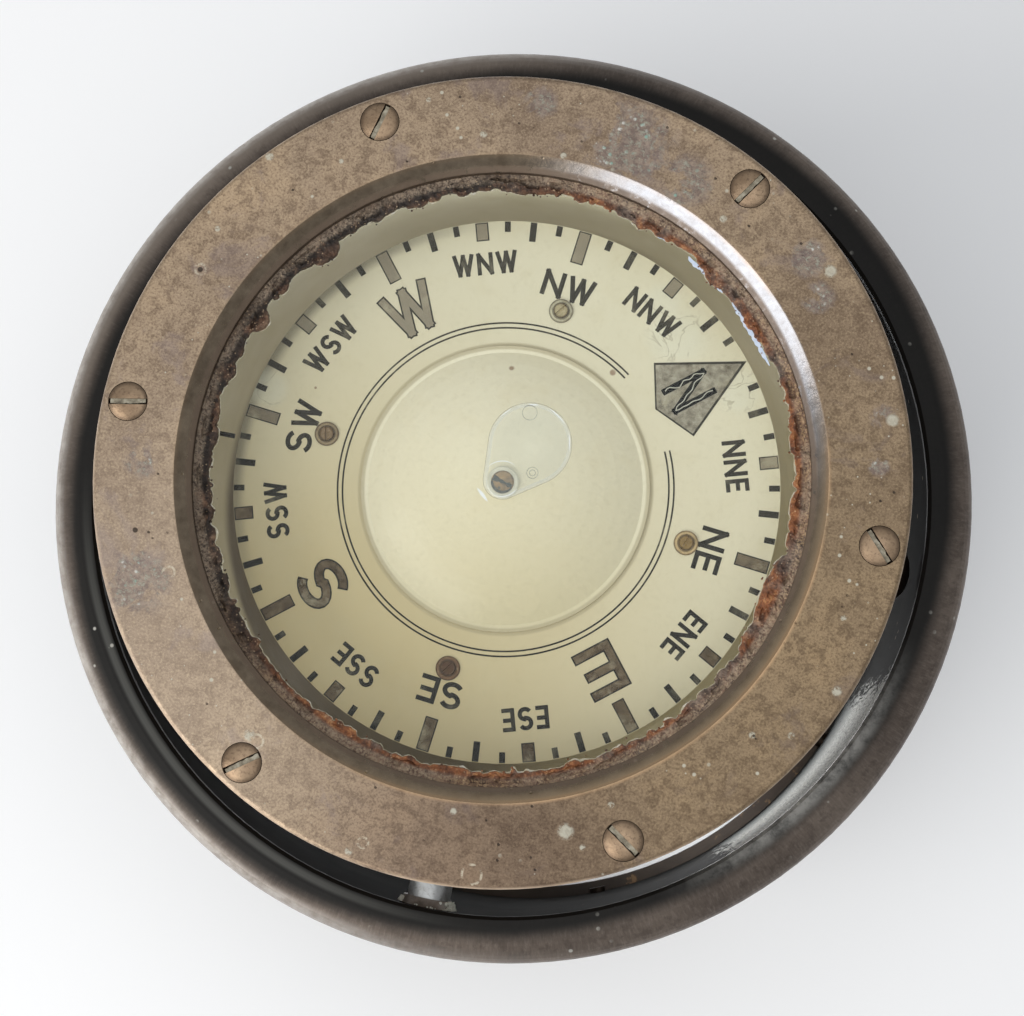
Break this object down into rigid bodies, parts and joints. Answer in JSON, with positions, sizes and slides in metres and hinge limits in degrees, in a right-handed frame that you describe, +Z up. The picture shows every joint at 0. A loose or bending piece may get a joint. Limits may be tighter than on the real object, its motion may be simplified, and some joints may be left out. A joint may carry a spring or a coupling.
{
  "type": "binnacle compass",
  "caption": "Round deck drum with a domed rim, holding a gimballed glass-topped compass bowl in which a printed card with float and magnets turns on a needle point.",
  "frame": {"origin": "centre of the foot ring's underside, on the deck", "axes": "+Z up, through the bezel, the card's point and the drum's axis; +X along the screws on which the bowl turns in the gimbal ring, away from the lubber mark; +Y along the pins on which the ring turns in the drum"},
  "size_m": [0.222, 0.222, 0.15],
  "materials": {
    "drum_paint": "worn blue-black paint over spun brass, pitted",
    "rim_paint": "worn dark bronze-black paint with bare edges",
    "foot_paint": "worn dark paint on cast brass",
    "dark_brass": "blackened brass",
    "old_brass": "dull old brass",
    "pin_metal": "dull nickel-grey pin with pale salt bloom",
    "bowl_bronze": "brown patinated bronze outside, off-white enamel inside",
    "red_fibre": "red fibre washer",
    "lead": "dull lead grey",
    "copper_foil": "thin corrugated copper",
    "inner_brass": "clean brass kept under liquid",
    "needle_steel": "hardened polished point",
    "lubber_black": "matt black wire",
    "gasket_rubber": "black rubber",
    "cover_glass": "clear plate glass",
    "putty": "perished rust-brown glazing putty, crumbly",
    "bezel_bronze": "warm brown bronze patina with pale green specks",
    "screw_bronze": "brown bronze screw heads, slots filled with pale deposit",
    "card_enamel": "cream enamelled card with dark slate marks",
    "dome_enamel": "cream enamelled float",
    "cap_brass": "dull brass cap",
    "clear_washer": "clear washer",
    "jewel": "red sapphire",
    "eyelet_brass": "dull brass",
    "magnet_steel": "dark magnet steel"
  },
  "bodies": {
    "binnacle": {"binnacle_drum": "drum_paint", "drum_rim": "rim_paint", "foot_ring": "foot_paint", "foot_rivets": "dark_brass", "gimbal_bosses": "drum_paint", "outer_pivot_pins": "pin_metal", "outer_pin_nuts": "old_brass"},
    "gimbal": {"gimbal_ring": "old_brass", "inner_pivot_screws": "dark_brass", "inner_pivot_nuts": "old_brass"},
    "bowl": {"bowl_shell": "bowl_bronze", "bowl_flange": "bowl_bronze", "bowl_trunnions": "old_brass", "filler_plug": "old_brass", "filler_washer": "red_fibre", "ballast_ring": "lead", "ballast_screws": "old_brass", "expansion_diaphragm": "copper_foil", "diaphragm_cover": "old_brass", "cover_screws": "old_brass", "pivot_bridge": "inner_brass", "bridge_screws": "inner_brass", "pivot_post": "inner_brass", "pivot_needle": "needle_steel", "lubber_pin": "lubber_black", "glass_gasket": "gasket_rubber", "cover_glass": "cover_glass", "glazing_putty": "putty", "bezel_ring": "bezel_bronze", "bezel_screws": "screw_bronze"},
    "card": {"compass_card": "card_enamel", "float_dome": "dome_enamel", "float_cup": "dome_enamel", "float_tube": "inner_brass", "jewel_cap": "cap_brass", "cap_washer": "clear_washer", "pivot_jewel": "jewel", "card_eyelets": "eyelet_brass", "card_screws": "eyelet_brass", "magnet_holders": "inner_brass", "bar_magnets": "magnet_steel"}
  },
  "joints": [
    {"name": "gimbal_roll", "type": "hinge", "parent": "binnacle", "child": "gimbal", "pos_m": [0, 0, 0.107], "axis": [0, 1, 0], "range_deg": [-11, 11]},
    {"name": "bowl_pitch", "type": "hinge", "parent": "gimbal", "child": "bowl", "pos_m": [0, 0, 0.107], "axis": [1, 0, 0], "range_deg": [-11, 11]},
    {"name": "card_spin", "type": "hinge", "parent": "bowl", "child": "card", "pos_m": [0, 0, 0.126], "axis": [0, 0, 1], "continuous": true}
  ]
}
